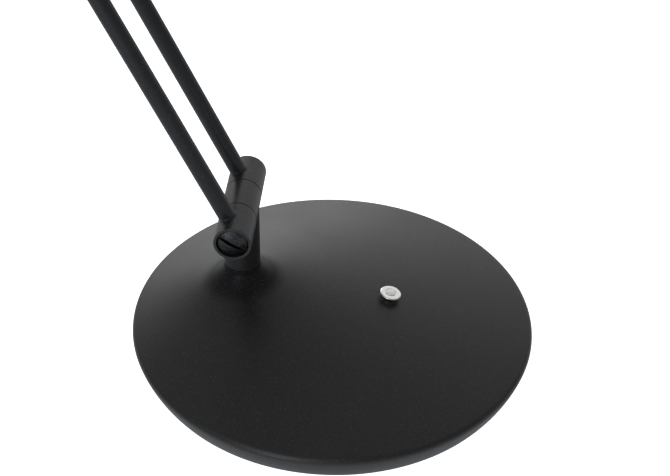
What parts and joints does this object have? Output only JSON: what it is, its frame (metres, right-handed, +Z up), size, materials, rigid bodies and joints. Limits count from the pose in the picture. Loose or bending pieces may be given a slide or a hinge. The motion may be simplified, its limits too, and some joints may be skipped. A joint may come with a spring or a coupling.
{
  "type": "architect desk lamp",
  "caption": "Architect desk lamp: round weighted base with an off-centre post, twin-rod lower arm, tube upper arm, friction hinges and a flat round tilting LED head.",
  "frame": {"origin": "centre of the base's underside, on the table", "axes": "+Z up; +X towards the user, where the button is; the post stands on the -X side; hinge axes run along Y"},
  "size_m": [0.5373, 0.24, 0.5527],
  "materials": {
    "cover_paint": "fine-textured black powder coat, semi-matt",
    "arm_paint": "fine-textured black powder coat, semi-matt",
    "rod_paint": "smooth satin black paint",
    "bolt_black": "black oxide on brass-coloured plating, worn in the slot",
    "cast_iron": "rough cast, dark primer",
    "zinc_steel": "zinc plated",
    "spring_steel": "bright drawn wire",
    "foot_rubber": "matt rubber",
    "bronze": "oiled sintered bronze",
    "black_nylon": "matt moulded nylon",
    "button_chrome": "polished chrome",
    "button_satin": "satin",
    "board": "green solder mask",
    "electronics": "moulded component bodies",
    "lead_sleeve": "silicone sleeve",
    "bare_aluminium": "mill finish",
    "led_white": "white solder mask on an aluminium board",
    "led_phosphor": "yellow phosphor",
    "opal": "opal polycarbonate, satin face"
  },
  "bodies": {
    "base": {"base_cover": "cover_paint", "cover_lugs": "zinc_steel", "base_weight": "cast_iron", "base_plate": "zinc_steel", "foot_pad": "foot_rubber", "base_screws": "zinc_steel", "cord_bushing": "foot_rubber", "swivel_bush": "bronze", "swivel_stop_pin": "zinc_steel", "switch_bush": "black_nylon", "switch_body": "black_nylon", "switch_screws": "zinc_steel", "driver_tray": "black_nylon", "driver_board": "board", "driver_parts": "electronics"},
    "button": {"button_cap": "button_chrome", "button_insert": "button_satin", "switch_spring": "spring_steel"},
    "post": {"post": "cover_paint", "swivel_washer": "black_nylon", "swivel_stop_washer": "zinc_steel", "swivel_spring_washer": "spring_steel", "swivel_lock_nut": "zinc_steel", "lower_hub_bushes": "bronze"},
    "lower_arm": {"lower_pivot_bolt": "bolt_black", "lower_pivot_nut": "bolt_black", "lower_spring_washers": "spring_steel", "lower_friction_washers": "black_nylon", "lower_collar_rear": "arm_paint", "lower_collar_front": "arm_paint", "rod_rear": "rod_paint", "rod_front": "rod_paint", "lower_arm_lead": "lead_sleeve", "elbow_pivot_bolt": "bolt_black", "elbow_pivot_nut": "bolt_black", "elbow_spring_washers": "spring_steel", "elbow_friction_washers": "black_nylon", "elbow_collar_rear": "arm_paint", "elbow_collar_front": "arm_paint"},
    "upper_arm": {"elbow_hub": "arm_paint", "elbow_hub_bushes": "bronze", "upper_tube": "arm_paint", "upper_end_collar": "arm_paint", "roll_bush": "bronze", "upper_arm_lead": "lead_sleeve"},
    "knuckle": {"head_knuckle": "arm_paint", "roll_washer": "black_nylon", "roll_circlip": "spring_steel"},
    "head": {"head_friction_washers": "black_nylon", "head_yoke": "arm_paint", "head_pivot_bolt": "bolt_black", "head_pivot_nut": "bolt_black", "shade": "arm_paint", "shade_nut": "zinc_steel", "heat_sink": "bare_aluminium", "led_board": "led_white", "led_chips": "led_phosphor", "diffuser": "opal", "retaining_ring": "black_nylon"}
  },
  "joints": [
    {"name": "button_press", "type": "slide", "parent": "base", "child": "button", "axis": [-0.1692, 0, -0.9856], "range_m": [0, 0.002], "stiffness_N_per_m": 300, "springref_m": -0.004, "deforming": ["switch_spring"]},
    {"name": "base_swivel", "type": "hinge", "parent": "base", "child": "post", "pos_m": [-0.054, 0, 0], "axis": [0, 0, 1], "range_deg": [-160, 160]},
    {"name": "lower_hinge", "type": "hinge", "parent": "post", "child": "lower_arm", "pos_m": [-0.054, 0, 0.0934], "axis": [0, -1, 0], "range_deg": [-45, 30]},
    {"name": "elbow_hinge", "type": "hinge", "parent": "lower_arm", "child": "upper_arm", "pos_m": [-0.22305, 0, 0.45592], "axis": [0, 1, 0], "range_deg": [-75, 30]},
    {"name": "head_roll", "type": "hinge", "parent": "upper_arm", "child": "knuckle", "pos_m": [0.18777, 0, 0.54325], "axis": [0.9781, 0, 0.2079], "range_deg": [-90, 90]},
    {"name": "head_tilt", "type": "hinge", "parent": "knuckle", "child": "head", "pos_m": [0.18777, 0, 0.54325], "axis": [0, 1, 0], "range_deg": [-95, 30]}
  ]
}
